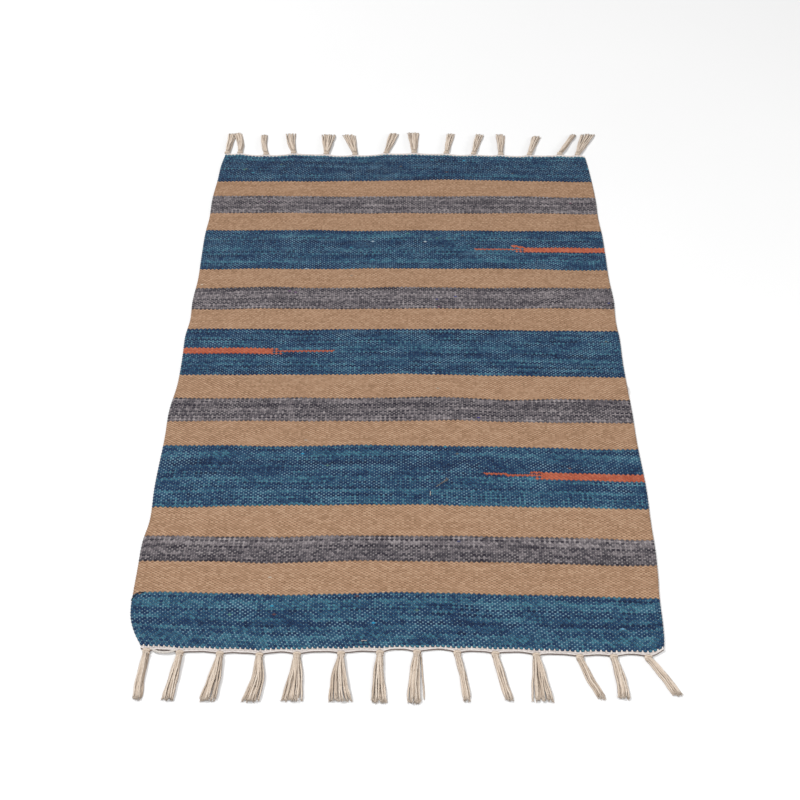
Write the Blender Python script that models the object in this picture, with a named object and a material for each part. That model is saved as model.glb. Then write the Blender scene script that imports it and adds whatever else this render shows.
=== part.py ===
"""A flat-woven striped kilim with knotted fringes, lying flat.

Units are metres. X runs across the cloth, Y along it from the near end to the
far one, and Z up from the surface that it lies on. Every outline is worked out
in cloth measure, where X is zero in mid width and Y is zero at the near woven
end. The empty that carries the pieces then brings the centre of the whole
outline to the origin.
"""

import math
from typing import NamedTuple

import bmesh
import bpy
import numpy as np

# Cloth
CLOTH_WIDTH = 0.600
CLOTH_LENGTH = 0.904
CLOTH_THICKNESS = 0.0030
CLOTH_UNEVENNESS = 0.0003
UNEVEN_ACROSS = 0.21
UNEVEN_ALONG = 0.16
UNEVEN_PHASE = 0.7
EDGE_ROUNDING = 0.0010
EDGE_STEPS = 2
COLUMNS_ACROSS = 36
ROW_LENGTH = 0.024

# Gap left between pieces that touch
SEAT_GAP = 0.0003

# Band of natural cotton along each woven end
CORD_WIDTH = 0.0044
CORD_HEIGHT = 0.0034
CORD_STEPS_A_COLUMN = 2
CORD_SWELL = 0.0014
CORD_SWELL_REACH = 0.0085
CORD_INSET = 0.0012

# Tassels
HEAD_LENGTH = 0.0090
NECK_SPAN = 0.0058
STRAND_ROOT = 0.0055
STRAND_WIDTH = 0.0020
STRAND_FILL = 0.84
STRAND_HEIGHT_SHARE = 0.90
STRAND_RAISED_ROOT = 0.0005
STRAND_TIP_SHARE = 0.62
STRAND_STATIONS = (0.0, 0.12, 0.50, 0.90, 1.0)
STRAND_FLARE = 1.25
FULL_SPREAD = 0.0105

# Colours, roughness
BLUE = (0.050, 0.130, 0.220)
TAN = (0.440, 0.270, 0.160)
GREY = (0.170, 0.150, 0.160)
NATURAL = (0.620, 0.520, 0.400)
YARN_ROUGHNESS = 0.92


class Selvage(NamedTuple):
    """How far each selvage lies outside half the width, at a distance along the cloth."""

    along: float
    left: float
    right: float


SELVAGES = (
    Selvage(0.000, -0.0205, -0.0145),
    Selvage(0.010, -0.0145, -0.0085),
    Selvage(0.020, -0.0085, -0.0080),
    Selvage(0.030, -0.0040, -0.0075),
    Selvage(0.045, -0.0010, -0.0065),
    Selvage(0.070, 0.0000, -0.0052),
    Selvage(0.100, 0.0005, -0.0020),
    Selvage(0.140, 0.0010, 0.0000),
    Selvage(0.165, -0.0018, 0.0002),
    Selvage(0.220, 0.0005, 0.0020),
    Selvage(0.300, 0.0005, 0.0005),
    Selvage(0.340, 0.0020, 0.0012),
    Selvage(0.390, -0.0018, 0.0006),
    Selvage(0.440, -0.0010, 0.0005),
    Selvage(0.480, 0.0010, 0.0018),
    Selvage(0.510, -0.0010, 0.0008),
    Selvage(0.550, 0.0010, 0.0030),
    Selvage(0.600, -0.0005, 0.0015),
    Selvage(0.650, 0.0015, 0.0025),
    Selvage(0.700, 0.0030, 0.0030),
    Selvage(0.740, 0.0015, 0.0015),
    Selvage(0.780, 0.0030, 0.0025),
    Selvage(0.840, 0.0010, 0.0014),
    Selvage(0.880, 0.0000, -0.0005),
    Selvage(0.904, -0.0030, -0.0022),
)


class WovenEnd(NamedTuple):
    """How far the two woven ends lie towards +Y of a straight end, at a distance across."""

    across: float
    near: float
    far: float


WOVEN_ENDS = (
    WovenEnd(-0.300, 0.0050, 0.0010),
    WovenEnd(-0.275, 0.0035, 0.0025),
    WovenEnd(-0.230, 0.0003, -0.0018),
    WovenEnd(-0.180, -0.0007, 0.0023),
    WovenEnd(-0.150, -0.0022, 0.0015),
    WovenEnd(-0.115, -0.0008, -0.0015),
    WovenEnd(-0.070, -0.0002, -0.0018),
    WovenEnd(-0.030, 0.0010, 0.0025),
    WovenEnd(0.020, 0.0024, 0.0035),
    WovenEnd(0.050, 0.0026, 0.0027),
    WovenEnd(0.090, 0.0016, 0.0000),
    WovenEnd(0.140, 0.0000, -0.0010),
    WovenEnd(0.190, -0.0015, -0.0028),
    WovenEnd(0.240, -0.0022, -0.0015),
    WovenEnd(0.300, -0.0005, -0.0035),
)


class Stripe(NamedTuple):
    """A stripe of weft: its yarn, and how far along the cloth it ends."""

    yarn: str
    ends_at: float


STRIPES = (
    Stripe("blue", 0.067),
    Stripe("tan", 0.112),
    Stripe("grey", 0.146),
    Stripe("tan", 0.190),
    Stripe("blue", 0.283),
    Stripe("tan", 0.327),
    Stripe("grey", 0.365),
    Stripe("tan", 0.407),
    Stripe("blue", 0.493),
    Stripe("tan", 0.538),
    Stripe("grey", 0.581),
    Stripe("tan", 0.622),
    Stripe("blue", 0.710),
    Stripe("tan", 0.754),
    Stripe("grey", 0.795),
    Stripe("tan", 0.835),
    Stripe("blue", CLOTH_LENGTH),
)


class Tassel(NamedTuple):
    """A tassel: its knot across, the span of its tips, its bow sideways and its whole length."""

    root: float
    tip_left: float
    tip_right: float
    bow: float
    length: float


NEAR_TASSELS = (
    Tassel(-0.2705, -0.2770, -0.2680, -0.0010, 0.054),
    Tassel(-0.2340, -0.2480, -0.2355, 0.0020, 0.055),
    Tassel(-0.1905, -0.2080, -0.1900, 0.0025, 0.055),
    Tassel(-0.1475, -0.1610, -0.1445, 0.0040, 0.056),
    Tassel(-0.1070, -0.1195, -0.1010, 0.0010, 0.054),
    Tassel(-0.0595, -0.0690, -0.0460, -0.0020, 0.055),
    Tassel(-0.0175, -0.0250, -0.0080, -0.0010, 0.057),
    Tassel(0.0225, 0.0130, 0.0270, -0.0010, 0.058),
    Tassel(0.0660, 0.0700, 0.0800, -0.0030, 0.056),
    Tassel(0.1070, 0.1110, 0.1220, -0.0010, 0.055),
    Tassel(0.1510, 0.1435, 0.1645, 0.0000, 0.053),
    Tassel(0.1975, 0.2100, 0.2200, -0.0015, 0.050),
    Tassel(0.2340, 0.2340, 0.2450, 0.0020, 0.051),
    Tassel(0.2710, 0.2900, 0.3010, 0.0000, 0.044),
)

FAR_TASSELS = (
    Tassel(-0.2900, -0.2960, -0.2870, 0.0000, 0.055),
    Tassel(-0.2715, -0.2855, -0.2760, 0.0030, 0.056),
    Tassel(-0.2280, -0.2430, -0.2340, -0.0020, 0.055),
    Tassel(-0.1825, -0.2010, -0.1850, 0.0000, 0.055),
    Tassel(-0.1285, -0.1380, -0.1155, 0.0000, 0.055),
    Tassel(-0.0800, -0.1030, -0.0840, 0.0010, 0.056),
    Tassel(-0.0295, -0.0270, -0.0110, -0.0010, 0.055),
    Tassel(0.0165, 0.0070, 0.0220, 0.0000, 0.056),
    Tassel(0.0690, 0.0695, 0.0820, -0.0005, 0.055),
    Tassel(0.1150, 0.1195, 0.1315, -0.0010, 0.055),
    Tassel(0.1600, 0.1550, 0.1675, 0.0000, 0.056),
    Tassel(0.2080, 0.2110, 0.2225, 0.0000, 0.052),
    Tassel(0.2550, 0.2795, 0.2890, -0.0015, 0.056),
    Tassel(0.2890, 0.2970, 0.3165, 0.0000, 0.058),
)


class HeadStation(NamedTuple):
    """A cross-section of a knot: how far from its root, half its width and its height."""

    along: float
    half_width: float
    height: float


HEAD_STATIONS = (
    HeadStation(0.0000, 0.0027, 0.0029),
    HeadStation(0.0015, 0.0041, 0.0047),
    HeadStation(0.0042, 0.0044, 0.0052),
    HeadStation(0.0070, 0.0040, 0.0045),
    HeadStation(HEAD_LENGTH, 0.0036, 0.0039),
)


class RingPoint(NamedTuple):
    """A point of a rounded section that is flat below, in shares of half width and of height."""

    side: float
    height: float


ROUND_SECTION = (
    RingPoint(-0.60, 0.00),
    RingPoint(0.60, 0.00),
    RingPoint(1.00, 0.42),
    RingPoint(0.55, 1.00),
    RingPoint(-0.55, 1.00),
    RingPoint(-1.00, 0.42),
)

STRAND_SECTION = (
    RingPoint(-1.0, 0.0),
    RingPoint(1.0, 0.0),
    RingPoint(0.0, 1.0),
)


class StrandLayer(NamedTuple):
    """A layer of strands in a tassel: its place in the pile and how many lie side by side."""

    level: int
    wide_count: int
    narrow_count: int


STRAND_LAYERS = (
    StrandLayer(0, 5, 4),
    StrandLayer(1, 3, 3),
)

# How much shorter each strand of a layer is than its tassel, in turn. The turn
# starts this much later in the layer above.
TIP_TRIMS = (0.0012, 0.0000, 0.0022, 0.0006, 0.0016)
TRIM_TURN = 2

# How upright a face's normal is, up or down, before the face counts as flat
FLAT_NORMAL = 0.8


def clear_scene():
    for obj in list(bpy.data.objects):
        bpy.data.objects.remove(obj)


def yarn_material(name, colour):
    material = bpy.data.materials.new(name)
    material.use_nodes = True
    shader = material.node_tree.nodes["Principled BSDF"]
    shader.inputs["Base Color"].default_value = (*colour, 1.0)
    shader.inputs["Roughness"].default_value = YARN_ROUGHNESS
    shader.inputs["Metallic"].default_value = 0.0
    material.diffuse_color = (*colour, 1.0)
    return material


def eased(places, values, at):
    """The value at a place, read from a smooth curve through the table's rows."""
    slopes = np.gradient(values, places)
    at = min(max(at, places[0]), places[-1])
    row = min(int(np.searchsorted(places, at, side="right")) - 1, len(places) - 2)
    span = places[row + 1] - places[row]
    t = (at - places[row]) / span
    rise = values[row] * (2 * t**3 - 3 * t**2 + 1) + values[row + 1] * (3 * t**2 - 2 * t**3)
    lean = slopes[row] * (t**3 - 2 * t**2 + t) + slopes[row + 1] * (t**3 - t**2)
    return rise + lean * span


def column(table, name):
    return np.array([getattr(row, name) for row in table])


def selvage(along, side):
    """Where the left (-1) or right (+1) selvage lies across, at a distance along."""
    name = "left" if side < 0 else "right"
    out = eased(column(SELVAGES, "along"), column(SELVAGES, name), along)
    return side * (CLOTH_WIDTH / 2 + out)


def woven_end(across, end):
    """Where the near (-1) or far (+1) woven end lies along, at a distance across."""
    name = "near" if end < 0 else "far"
    shift = eased(column(WOVEN_ENDS, "across"), column(WOVEN_ENDS, name), across)
    return shift if end < 0 else CLOTH_LENGTH + shift


def on_cloth(across_share, along):
    """The place of a point of the cloth, from its share of the width and its row."""
    x_left = selvage(along, -1)
    x = x_left + (selvage(along, 1) - x_left) * across_share
    share = along / CLOTH_LENGTH
    near = woven_end(x, -1)
    return x, near + (woven_end(x, 1) - near) * share


def unevenness(x, y):
    """How much thicker the cloth is at a place than it is on the whole."""
    across = math.sin(2 * math.pi * x / UNEVEN_ACROSS + UNEVEN_PHASE)
    along = math.sin(2 * math.pi * y / UNEVEN_ALONG)
    return CLOTH_UNEVENNESS * across * along


def cloth_rows():
    """Distances along the cloth of its rows, with a row at each stripe's end, and their yarns."""
    rows = [0.0]
    yarns = []
    for stripe in STRIPES:
        start = rows[-1]
        count = max(1, round((stripe.ends_at - start) / ROW_LENGTH))
        for step in range(1, count + 1):
            rows.append(start + (stripe.ends_at - start) * step / count)
            yarns.append(stripe.yarn)
    return rows, yarns


def add_piece(name, bm, materials, parent):
    """Makes an object of what was built, with its faces pointing outwards."""
    bmesh.ops.recalc_face_normals(bm, faces=bm.faces)
    mesh = bpy.data.meshes.new(name)
    bm.to_mesh(mesh)
    bm.free()
    for material in materials:
        mesh.materials.append(material)
    obj = bpy.data.objects.new(name, mesh)
    bpy.context.scene.collection.objects.link(obj)
    obj.parent = parent
    return obj


def build_field(parent, materials):
    """The cloth: an uneven grid of rows and columns, thickened upwards, with its rim rounded."""
    rows, yarns = cloth_rows()
    slots = list(materials)
    bm = bmesh.new()
    grid = []
    for along in rows:
        places = [on_cloth(step / COLUMNS_ACROSS, along) for step in range(COLUMNS_ACROSS + 1)]
        grid.append([bm.verts.new((x, y, 0.0)) for x, y in places])
    for row, yarn in enumerate(yarns):
        for step in range(COLUMNS_ACROSS):
            near, far = grid[row], grid[row + 1]
            face = bm.faces.new((near[step], near[step + 1], far[step + 1], far[step]))
            face.material_index = slots.index(yarn)
    below = list(bm.faces)
    made = bmesh.ops.extrude_face_region(bm, geom=below)
    above = [item for item in made["geom"] if isinstance(item, bmesh.types.BMVert)]
    for vert in above:
        vert.co.z = CLOTH_THICKNESS + unevenness(vert.co.x, vert.co.y)
    bmesh.ops.recalc_face_normals(bm, faces=bm.faces)
    underside = [face for face in bm.faces if face.normal.z < -FLAT_NORMAL]
    bmesh.ops.dissolve_faces(bm, faces=underside, use_verts=False)
    rim = [edge for edge in bm.edges if is_rim(edge)]
    bmesh.ops.bevel(
        bm,
        geom=rim,
        offset=EDGE_ROUNDING,
        segments=EDGE_STEPS,
        profile=0.5,
        affect="EDGES",
        clamp_overlap=True,
    )
    return add_piece("woven_field", bm, materials.values(), parent)


def is_rim(edge):
    """True for an edge where a side wall of the cloth meets its top or its underside."""
    flat = [abs(face.normal.z) > FLAT_NORMAL for face in edge.link_faces]
    return len(flat) == 2 and flat[0] != flat[1]


def lofted(bm, rings):
    """Skins a row of rings, each of the same number of points, and closes both ends."""
    verts = [[bm.verts.new(point) for point in ring] for ring in rings]
    count = len(verts[0])
    for first, second in zip(verts, verts[1:]):
        for step in range(count):
            after = (step + 1) % count
            bm.faces.new((first[step], first[after], second[after], second[step]))
    bm.faces.new(reversed(verts[0]))
    bm.faces.new(verts[-1])


def section_ring(section, middle, across, half_width, height):
    """The points of a section set upright at middle, widened along the across direction."""
    x, y, z = middle
    return [
        (
            x + across[0] * half_width * point.side,
            y + across[1] * half_width * point.side,
            z + height * point.height,
        )
        for point in section
    ]


def cord_width(x, tassels):
    """The band's width: it swells where its ends are drawn into a knot."""
    nearest = min(abs(x - tassel.root) for tassel in tassels)
    return CORD_WIDTH + CORD_SWELL * math.exp(-((nearest / CORD_SWELL_REACH) ** 2))


def built_end(x, end):
    """Where the cloth's straight stretches between columns put a woven end, at x."""
    along = 0.0 if end < 0 else CLOTH_LENGTH
    columns = [on_cloth(step / COLUMNS_ACROSS, along) for step in range(COLUMNS_ACROSS + 1)]
    return float(np.interp(x, [place[0] for place in columns], [place[1] for place in columns]))


def cord_edge(x, end, tassels):
    """Where the band's outer edge lies along."""
    return built_end(x, end) + end * (SEAT_GAP + cord_width(x, tassels))


def build_cord(name, end, tassels, parent, material):
    """The band of natural cotton that lies along a woven end."""
    along = 0.0 if end < 0 else CLOTH_LENGTH
    count = COLUMNS_ACROSS * CORD_STEPS_A_COLUMN
    x_from = selvage(along, -1) + CORD_INSET
    x_to = selvage(along, 1) - CORD_INSET
    rings = []
    for step in range(count + 1):
        x = min(max(on_cloth(step / count, along)[0], x_from), x_to)
        width = cord_width(x, tassels)
        middle = (x, built_end(x, end) + end * (SEAT_GAP + width / 2), 0.0)
        rings.append(section_ring(ROUND_SECTION, middle, (0.0, 1.0), width / 2, CORD_HEIGHT))
    bm = bmesh.new()
    lofted(bm, rings)
    return add_piece(name, bm, [material], parent)


def strand_middle(tassel, side_share, share):
    """How far across a strand lies, at a share of the way from the neck to its tip."""
    neck = tassel.root + NECK_SPAN / 2 * side_share
    spread = (tassel.tip_right - tassel.tip_left - STRAND_WIDTH) / 2
    tip = (tassel.tip_left + tassel.tip_right) / 2 + spread * side_share
    return neck + (tip - neck) * share**STRAND_FLARE + tassel.bow * math.sin(math.pi * share)


def strand_rings(tassel, layer, count, place, root_y, end):
    """Sections of one strand, from inside the knot to its tip."""
    below = STRAND_LAYERS[0].wide_count if is_wide(tassel) else STRAND_LAYERS[0].narrow_count
    pitch_share = 2 / (below - 1)
    side_share = (place - (count - 1) / 2) * pitch_share
    length = tassel.length - TIP_TRIMS[(place + TRIM_TURN * layer.level) % len(TIP_TRIMS)]
    rings = []
    for share in STRAND_STATIONS:
        x = strand_middle(tassel, side_share, share)
        pitch = strand_middle(tassel, side_share + pitch_share, share) - x
        width = min(STRAND_WIDTH, STRAND_FILL * pitch)
        height = STRAND_HEIGHT_SHARE * width
        z = layer.level * (height + SEAT_GAP)
        if share == 0.0:
            z += STRAND_RAISED_ROOT
        if share == 1.0:
            width *= STRAND_TIP_SHARE
            height *= STRAND_TIP_SHARE
        y = root_y + end * (STRAND_ROOT + (length - STRAND_ROOT) * share)
        rings.append(section_ring(STRAND_SECTION, (x, y, z), (1.0, 0.0), width / 2, height))
    return rings


def is_wide(tassel):
    return tassel.tip_right - tassel.tip_left > FULL_SPREAD


def build_tassel(name, tassel, end, tassels, parent, material):
    """A knot with its strands: the strands' roots are joined into the knot."""
    root_y = cord_edge(tassel.root, end, tassels) + end * SEAT_GAP
    bm = bmesh.new()
    rings = []
    for station in HEAD_STATIONS:
        middle = (tassel.root, root_y + end * station.along, 0.0)
        ring = section_ring(
            ROUND_SECTION, middle, (1.0, 0.0), station.half_width, station.height
        )
        rings.append(ring)
    lofted(bm, rings)
    knot = add_piece(name, bm, [material], parent)

    bm = bmesh.new()
    for layer in STRAND_LAYERS:
        count = layer.wide_count if is_wide(tassel) else layer.narrow_count
        for place in range(count):
            lofted(bm, strand_rings(tassel, layer, count, place, root_y, end))
    strands = add_piece(name + "_strands", bm, [material], parent)

    join = knot.modifiers.new("join_strands", "BOOLEAN")
    join.operation = "UNION"
    join.solver = "EXACT"
    join.object = strands
    bpy.context.view_layer.objects.active = knot
    bpy.ops.object.modifier_apply(modifier=join.name)
    bpy.data.objects.remove(strands)
    return knot


def centre_on_origin(parent, pieces):
    """Moves the empty so that the middle of the whole outline stands at the origin."""
    corners = np.array([tuple(vert.co) for piece in pieces for vert in piece.data.vertices])
    middle = (corners.min(axis=0) + corners.max(axis=0)) / 2
    parent.location = (-middle[0], -middle[1], 0.0)


def main():
    clear_scene()
    yarns = {
        "blue": yarn_material("blue_weft", BLUE),
        "tan": yarn_material("tan_weft", TAN),
        "grey": yarn_material("grey_weft", GREY),
    }
    natural = yarn_material("natural_cotton", NATURAL)
    kilim = bpy.data.objects.new("kilim", None)
    bpy.context.scene.collection.objects.link(kilim)

    pieces = [build_field(kilim, yarns)]
    for end, word, tassels in ((-1, "near", NEAR_TASSELS), (1, "far", FAR_TASSELS)):
        pieces.append(build_cord(f"end_cord_{word}", end, tassels, kilim, natural))
        for number, tassel in enumerate(tassels, start=1):
            name = f"tassel_{word}_{number:02d}"
            pieces.append(build_tassel(name, tassel, end, tassels, kilim, natural))
    centre_on_origin(kilim, pieces)


main()
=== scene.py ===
"""A flat-woven striped kilim with knotted cotton fringes, lying on a pale floor.

Everything is in metres. The cloth is worked out in cloth measure, where X is
zero in mid width and Y is zero at the near woven end, and each point is then
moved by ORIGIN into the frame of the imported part. Inside the cloth a place is
given in warps across and in picks of weft along.
"""

import logging
import math
from dataclasses import dataclass, field
from enum import Enum
from itertools import cycle
from typing import Any, Callable, NamedTuple

import bpy
import numpy as np
from bpy.types import Material, Node, NodeSocket, Object
from mathutils import Matrix, Vector


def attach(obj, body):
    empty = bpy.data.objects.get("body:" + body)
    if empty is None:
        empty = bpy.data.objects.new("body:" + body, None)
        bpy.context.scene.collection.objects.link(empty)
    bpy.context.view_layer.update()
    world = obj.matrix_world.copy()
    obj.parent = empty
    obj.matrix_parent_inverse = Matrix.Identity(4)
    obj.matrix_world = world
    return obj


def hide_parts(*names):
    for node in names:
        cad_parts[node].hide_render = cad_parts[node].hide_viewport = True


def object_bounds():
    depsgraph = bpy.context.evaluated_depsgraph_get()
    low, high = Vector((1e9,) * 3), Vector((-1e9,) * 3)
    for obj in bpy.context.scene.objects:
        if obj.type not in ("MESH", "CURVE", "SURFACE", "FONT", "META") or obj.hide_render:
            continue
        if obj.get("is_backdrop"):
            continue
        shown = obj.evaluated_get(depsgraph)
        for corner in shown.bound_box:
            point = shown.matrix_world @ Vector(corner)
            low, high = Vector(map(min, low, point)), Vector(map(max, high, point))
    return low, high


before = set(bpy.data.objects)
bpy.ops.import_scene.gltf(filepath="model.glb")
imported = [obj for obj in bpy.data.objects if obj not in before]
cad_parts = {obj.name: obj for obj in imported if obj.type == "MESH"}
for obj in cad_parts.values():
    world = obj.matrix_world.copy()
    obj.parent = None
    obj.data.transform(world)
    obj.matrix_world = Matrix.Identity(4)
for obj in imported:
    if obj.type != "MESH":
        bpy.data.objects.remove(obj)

LOG = logging.getLogger("kilim")
BODY = "root"
BAKE_MAP = "OFBake"
WEAVE_MAP = "weave"
YARN_MAP = "yarn"

Row = tuple[float, ...]
Pair = tuple[float, float]
Place = tuple[float, float, float]
Colour = tuple[float, float, float]
Stops = tuple[tuple[float, Colour], ...]

ORIGIN = np.array([-0.0066046, -0.4527377, 0.0])
TURN = 2 * math.pi

# How little cotton and the floor shine, and how rough their loose fibres are.
MATT_SPECULAR, FIBRE_ROUGHNESS = 0.12, 0.7

# The whole of a yarn's round that its finish is read from, without the seam.
ALL_ROUND = (0.02, 0.98)


def metres(*millimetres: float) -> Row:
    """Sizes that a table gives in millimetres."""
    return tuple(size / 1000 for size in millimetres)


class Finish(Enum):
    """The finishes of the kilim, by name; the weft materials are named after them."""

    BLUE = "blue_weft"
    TAN = "tan_weft"
    GREY = "grey_weft"
    RUST = "rust_weft"
    COTTON = "natural_cotton"


class End(Enum):
    """The two woven ends, by the way along Y that each one faces."""

    NEAR = -1
    FAR = 1


@dataclass(frozen=True)
class Tassel:
    """A tassel: its knot across, the span of its tips, its bow sideways and its length."""

    root: float
    tip_left: float
    tip_right: float
    bow: float
    length: float

    @property
    def spare_strands(self) -> int:
        """How many strands each layer has over a narrow tassel's."""
        narrow, width_a_strand = 0.0085, 0.0035
        return round((self.tip_right - self.tip_left - narrow) / width_a_strand)


def tassels(*rows: Row) -> tuple[Tassel, ...]:
    """Tassels from rows in millimetres."""
    return tuple(Tassel(*metres(*row)) for row in rows)


TASSELS = {
    End.NEAR: tassels(
        (-270.5, -275, -267, -1, 57.2), (-234, -244.4, -232.8, 0, 55.2),
        (-190.5, -205, -188.8, 1, 55.2), (-147.5, -160, -144, 3, 54.2),
        (-107, -117.7, -99.2, 1, 54.6), (-59.5, -69, -45.5, -2, 56),
        (-17.5, -25, -9, -1, 58.4), (22.5, 13.5, 25.5, -1, 59.2),
        (66, 71.5, 78.5, 0.5, 56), (107, 115, 122.5, -1, 54.2),
        (151, 144.5, 164.5, 0, 53.6), (197.5, 212.5, 219, -2, 48.8),
        (234, 233.4, 244.4, 1, 48.8), (271, 290.5, 299.5, 0, 44),
    ),
    End.FAR: tassels(
        (-292.5, -296.5, -284.5, 0, 56.2), (-271.5, -287, -275.5, 3, 57.2),
        (-228, -241.5, -230, -2, 56.2), (-182.5, -199, -184, -1, 56.2),
        (-128.5, -137, -115.5, 0, 56.2), (-81, -103, -84, 1, 57.2),
        (-29.5, -27, -10, -0.5, 56.2), (16.5, 7, 23, 0, 57.2),
        (69.5, 70.5, 83, -0.5, 56.2), (114.5, 120, 132.5, -1, 56.2),
        (159, 155, 167.5, 0, 57.2), (206.5, 215, 226.5, -1, 53.2),
        (256, 279.5, 288, -1.5, 57.2), (285, 298, 317.5, -1, 59.2),
    ),
}


def eased(places: Any, values: Any, at: Any) -> np.ndarray:
    """Reads a smooth curve through the rows of a table.

    Args:
        places: where the rows lie, rising.
        values: what each row holds.
        at: where to read, held inside the table.

    Returns:
        The values read.
    """
    places, values = np.asarray(places, float), np.asarray(values, float)
    slopes = np.gradient(values, places)
    at = np.clip(at, places[0], places[-1])
    row = np.clip(np.searchsorted(places, at, side="right") - 1, 0, len(places) - 2)
    span = places[row + 1] - places[row]
    t = (at - places[row]) / span
    rise = values[row] * (2 * t**3 - 3 * t**2 + 1) + values[row + 1] * (3 * t**2 - 2 * t**3)
    lean = slopes[row] * (t**3 - 2 * t**2 + t) + slopes[row + 1] * (t**3 - t**2)
    return rise + lean * span


@dataclass(frozen=True)
class Outline:
    """The uneven outline of the cloth: its selvages and its woven ends."""

    width: float = 0.600
    length: float = 0.904
    selvage_along: Row = metres(
        0, 10, 20, 30, 45, 70, 100, 140, 165, 220, 300, 340, 390, 440, 480, 510, 550, 600, 650,
        700, 740, 780, 840, 880, 904,
    )
    left_out: Row = metres(
        -21.8, -15, -9.7, -5.9, -3, -2, -1.5, -1, -3.8, -1.5, -1.5, 0, -3.8, -3, -1, -3, -1, -2.5,
        -0.5, 1, -0.5, 1, -1, -2, -5,
    )
    right_out: Row = metres(
        -10.7, -9, -8.2, -7.6, -7.1, -6.2, -3.4, -1.4, -1.2, 0.6, -0.9, -0.2, -0.8, -0.9, 0.4,
        -0.6, 1.6, 0.1, 1.1, 1.6, 0.1, 1.1, 0, -1.9, -3.6,
    )
    end_across: Row = metres(
        -300, -275, -230, -180, -150, -115, -70, -30, 20, 50, 90, 140, 190, 240, 265, 280, 290,
        300,
    )
    near_shift: Row = metres(
        3.4, 1, -1.6, -2.6, -3.6, -2.6, -1.3, -0.1, 1, 0.9, 0.1, -1.2, -3, -2.9, -2.9, -2.2, 2.2,
        4,
    )
    far_shift: Row = metres(
        -3.8, -2.3, -6.6, -2.5, -3.3, -6.3, -6.6, -2.3, -1.3, -2.1, -4.8, -5.8, -7.6, -6.3, -6.8,
        -7.5, -7.9, -8.3,
    )
    near_pull: float = 0.0009
    far_pull: float = 0.0018
    pull_reach: float = 0.0085

    def left(self, along: Any) -> np.ndarray:
        """The left selvage's place across, at a distance along."""
        return -(self.width / 2 + eased(self.selvage_along, self.left_out, along))

    def right(self, along: Any) -> np.ndarray:
        """The right selvage's place across, at a distance along."""
        return self.width / 2 + eased(self.selvage_along, self.right_out, along)

    def plain_end(self, across: Any, end: End) -> np.ndarray:
        """The place along of a woven end without the pull of its knots."""
        if end is End.NEAR:
            return eased(self.end_across, self.near_shift, across)
        return self.length + eased(self.end_across, self.far_shift, across)

    def knot_pull(self, across: Any, end: End) -> np.ndarray:
        """How strongly the nearest knot pulls, from 0 to 1, at a distance across."""
        roots = np.array([tassel.root for tassel in TASSELS[end]])
        near = np.abs(np.asarray(across)[..., None] - roots).min(axis=-1)
        return np.exp(-((near / self.pull_reach) ** 2))

    def drawn_out(self, across: Any, end: End) -> np.ndarray:
        """How far the knots draw a woven end out, at a distance across."""
        pull = self.near_pull if end is End.NEAR else self.far_pull
        return end.value * pull * self.knot_pull(across, end)

    def woven_end(self, across: Any, end: End) -> np.ndarray:
        """The place along of a woven end, at a distance across."""
        return self.plain_end(across, end) + self.drawn_out(across, end)


class Stripe(NamedTuple):
    """A stripe: its yarn, its picks, and how far along it ends at each place across."""

    finish: Finish
    picks: int
    ends_at: Row


STRIPE_PLACES = metres(-270, -200, -130, -65, 0, 65, 130, 200, 270)

# A row for each stripe, from the near one: its picks, and where it ends at STRIPE_PLACES, in
# millimetres along. The last one ends at the woven end.
STRIPE_ROWS = (
    (31, 67.9, 65.9, 64.9, 66.4, 68.4, 68.4, 66.4, 64.9, 63.4),
    (25, 108.2, 108.7, 107.2, 109.7, 111.2, 110.2, 108.7, 107.7, 105.7),
    (16, 143.5, 143.5, 143, 145.5, 146, 145.5, 144.5, 144.5, 141),
    (24, 185.8, 187.3, 188.8, 190.8, 190.8, 189.8, 189.3, 187.3, 185.8),
    (42, 281.3, 281.8, 281.3, 282.8, 283.3, 282.8, 280.8, 279.8, 277.8),
    (24, 321.7, 323.7, 322.7, 323.2, 324.2, 325.2, 323.2, 322.2, 321.2),
    (18, 362.5, 362, 363, 363.5, 364.5, 365, 361.5, 362, 361),
    (23, 404.3, 404.3, 405.3, 405.8, 406.8, 405.8, 404.3, 402.8, 402.3),
    (40, 491.9, 492.4, 490.9, 491.9, 492.9, 492.9, 491.4, 490.4, 489.4),
    (25, 531.6, 533.6, 532.6, 533.6, 534.1, 534.1, 534.6, 535.1, 534.1),
    (20, 576.2, 579.2, 577.2, 577.7, 579.2, 578.7, 577.7, 578.2, 577.7),
    (23, 617.1, 619.1, 618.6, 619.1, 620.1, 620.1, 619.6, 618.6, 616.6),
    (41, 707.4, 707.9, 707.9, 706.4, 707.9, 707.4, 707.4, 706.4, 705.9),
    (24, 749.3, 750.3, 749.3, 748.8, 749.8, 749.3, 749.3, 749.3, 747.8),
    (19, 792.9, 792.4, 791.9, 790.9, 791.9, 792.4, 792.4, 791.4, 788.9),
    (22, 830.3, 830.3, 830.8, 831.8, 832.8, 835.3, 833.8, 831.8, 829.3),
    (28,) + (904,) * 9,
)
STRIPES = tuple(
    Stripe(finish, picks, metres(*ends))
    for finish, (picks, *ends) in zip(
        cycle((Finish.BLUE, Finish.TAN, Finish.GREY, Finish.TAN)), STRIPE_ROWS
    )
)
STRIPE_STARTS = np.concatenate([[0], np.cumsum([stripe.picks for stripe in STRIPES])])
PICKS = int(STRIPE_STARTS[-1])


class Run(NamedTuple):
    """A stretch of one inlaid pick: its number in its stripe, and its reach across.

    A tipped run also takes the near tips of the floats beyond it, so that a
    single pick shows as a line without gaps.
    """

    pick: int
    start: float
    end: float
    tipped: bool = False


class Inlay(NamedTuple):
    """Other yarn inlaid in a stripe from a selvage inwards."""

    name: str
    finish: Finish
    stripe: int
    runs: tuple[Run, ...]


def runs(*rows: tuple) -> tuple[Run, ...]:
    """Runs from rows whose reach is in millimetres."""
    return tuple(Run(pick, *metres(start, end), *tipped) for pick, start, end, *tipped in rows)


SELVAGE = 320.0

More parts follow.
